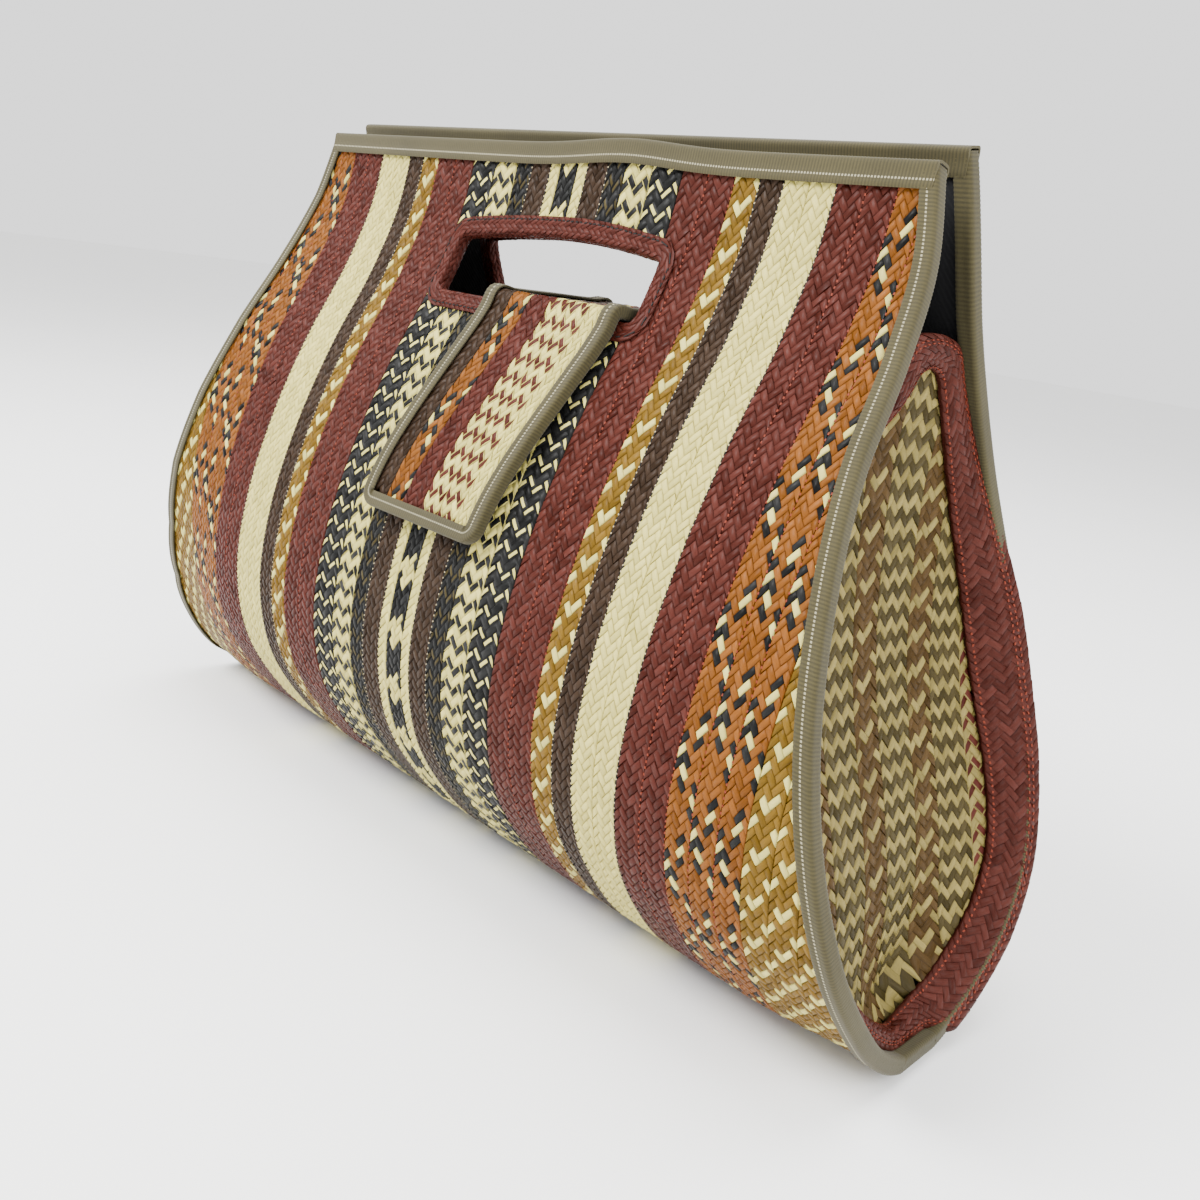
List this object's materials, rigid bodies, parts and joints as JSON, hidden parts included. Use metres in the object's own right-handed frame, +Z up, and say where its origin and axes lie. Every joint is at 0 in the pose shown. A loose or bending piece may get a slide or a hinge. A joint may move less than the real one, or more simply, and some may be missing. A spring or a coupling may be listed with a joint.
{
  "type": "woven cane tote bag",
  "caption": "Wide handbag of sewn woven cane braids in coloured stripes, hollow, with hand slots near the top, ribbon-bound edges, woven gussets and a flap through the slots.",
  "frame": {"origin": "On the floor under the middle of the bag's bounding box", "axes": "+X along the bag's width to its right as seen from the front, +Y to the back, +Z up"},
  "size_m": [0.4, 0.1366, 0.2742],
  "materials": {
    "cane": "woven cane braids, semi-gloss",
    "red_cane": "red-brown woven cane, semi-gloss",
    "gusset_cane": "olive and cream woven cane",
    "ribbon": "ribbed cotton ribbon, matte",
    "lining": "black cotton cloth, matte"
  },
  "bodies": {
    "root": {"woven_body": "cane", "lining_body": "lining", "handle_rim_front": "red_cane", "handle_rim_back": "red_cane", "binding_top_front": "ribbon", "binding_top_back": "ribbon", "binding_side_left": "ribbon", "binding_side_right": "ribbon", "gusset_braid_left": "red_cane", "gusset_braid_right": "red_cane", "gusset_weave_left": "gusset_cane", "gusset_weave_right": "gusset_cane", "flap": "cane", "flap_binding": "ribbon"}
  },
  "joints": []
}
